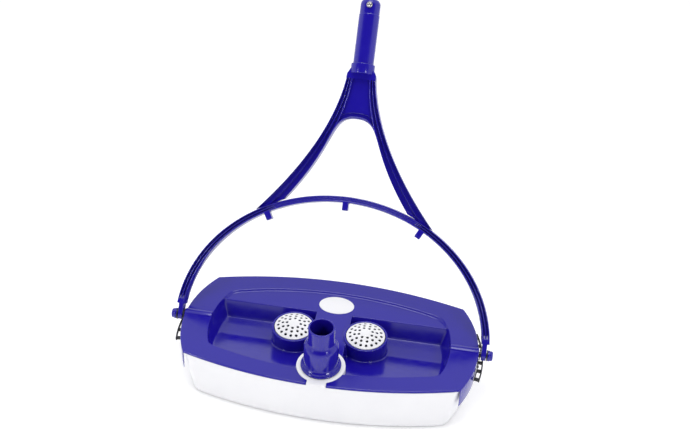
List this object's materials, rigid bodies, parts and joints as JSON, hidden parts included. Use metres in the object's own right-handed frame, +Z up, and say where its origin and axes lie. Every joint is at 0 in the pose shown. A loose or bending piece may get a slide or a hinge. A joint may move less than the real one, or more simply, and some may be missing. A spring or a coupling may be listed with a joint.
{
  "type": "pool vacuum head",
  "caption": "Manual pool vacuum head: shallow bowed body with sunk trays, hose connector, perforated relief caps and a tilting wishbone pole handle.",
  "frame": {"origin": "centre of the whole part's footprint on the floor, under its lowest point", "axes": "+X to the right along the head, +Y to the back where the handle leans, +Z up"},
  "size_m": [0.486, 0.4269, 0.4765],
  "materials": {
    "blue_abs": "moulded gloss",
    "dark_abs": "moulded satin",
    "white_abs": "moulded satin",
    "nylon": "moulded satin",
    "black_plastic": "fine grain",
    "seal_rubber": "matte",
    "bristle": "extruded filament",
    "steel": "brushed"
  },
  "bodies": {
    "head": {"top_cover": "blue_abs", "lower_shell": "white_abs", "base_plate": "dark_abs", "shell_gasket": "seal_rubber", "badge_plate": "white_abs", "left_relief_cap": "white_abs", "right_relief_cap": "white_abs", "left_valve_seat": "black_plastic", "right_valve_seat": "black_plastic", "left_bumper": "black_plastic", "right_bumper": "black_plastic", "bumper_screws": "steel", "left_pivot_pin": "blue_abs", "right_pivot_pin": "blue_abs", "pivot_washers": "black_plastic", "front_brush_holder": "black_plastic", "rear_brush_holder": "black_plastic", "front_bristles": "bristle", "rear_bristles": "bristle", "wheel_axles": "steel", "cover_screws": "steel", "base_screws": "steel"},
    "handle": {"handle_frame": "blue_abs", "pivot_bushes": "black_plastic", "lock_spring": "steel"},
    "front_lock": {"front_lock_button": "steel"},
    "rear_lock": {"rear_lock_button": "steel"},
    "swivel": {"hose_swivel": "blue_abs", "swivel_ring": "nylon", "throat_seal": "seal_rubber"},
    "left_valve": {"left_valve_plate": "seal_rubber", "left_stem_nut": "black_plastic", "left_valve_spring": "steel"},
    "right_valve": {"right_valve_plate": "seal_rubber", "right_stem_nut": "black_plastic", "right_valve_spring": "steel"},
    "front_left_wheel": {"front_left_wheel": "nylon"},
    "front_right_wheel": {"front_right_wheel": "nylon"},
    "rear_left_wheel": {"rear_left_wheel": "nylon"},
    "rear_right_wheel": {"rear_right_wheel": "nylon"}
  },
  "joints": [
    {"name": "handle_tilt", "type": "hinge", "parent": "head", "child": "handle", "pos_m": [0, -0.09885, 0.0682], "axis": [1, 0, 0], "range_deg": [-46, 112]},
    {"name": "hose_turn", "type": "hinge", "parent": "head", "child": "swivel", "pos_m": [0, -0.17305, 0.1], "axis": [0, 0, 1], "continuous": true},
    {"name": "left_valve_open", "type": "slide", "parent": "head", "child": "left_valve", "axis": [0, 0, -1], "range_m": [0, 0.005], "stiffness_N_per_m": 400, "springref_m": -0.004, "deforming": ["left_valve_spring"]},
    {"name": "right_valve_open", "type": "slide", "parent": "head", "child": "right_valve", "axis": [0, 0, -1], "range_m": [0, 0.005], "stiffness_N_per_m": 400, "springref_m": -0.004, "deforming": ["right_valve_spring"]},
    {"name": "front_lock_press", "type": "slide", "parent": "handle", "child": "front_lock", "axis": [0, 0.7986, -0.6018], "range_m": [0, 0.003], "stiffness_N_per_m": 900, "springref_m": -0.003, "deforming": ["lock_spring"]},
    {"name": "rear_lock_press", "type": "slide", "parent": "handle", "child": "rear_lock", "axis": [0, -0.7986, 0.6018], "range_m": [0, 0.003], "stiffness_N_per_m": 900, "springref_m": -0.003},
    {"name": "front_left_wheel_spin", "type": "hinge", "parent": "head", "child": "front_left_wheel", "pos_m": [-0.15, -0.15085, 0.015], "axis": [1, 0, 0], "continuous": true},
    {"name": "front_right_wheel_spin", "type": "hinge", "parent": "head", "child": "front_right_wheel", "pos_m": [0.15, -0.15085, 0.015], "axis": [1, 0, 0], "continuous": true},
    {"name": "rear_left_wheel_spin", "type": "hinge", "parent": "head", "child": "rear_left_wheel", "pos_m": [-0.15, -0.04685, 0.015], "axis": [1, 0, 0], "continuous": true},
    {"name": "rear_right_wheel_spin", "type": "hinge", "parent": "head", "child": "rear_right_wheel", "pos_m": [0.15, -0.04685, 0.015], "axis": [1, 0, 0], "continuous": true}
  ]
}
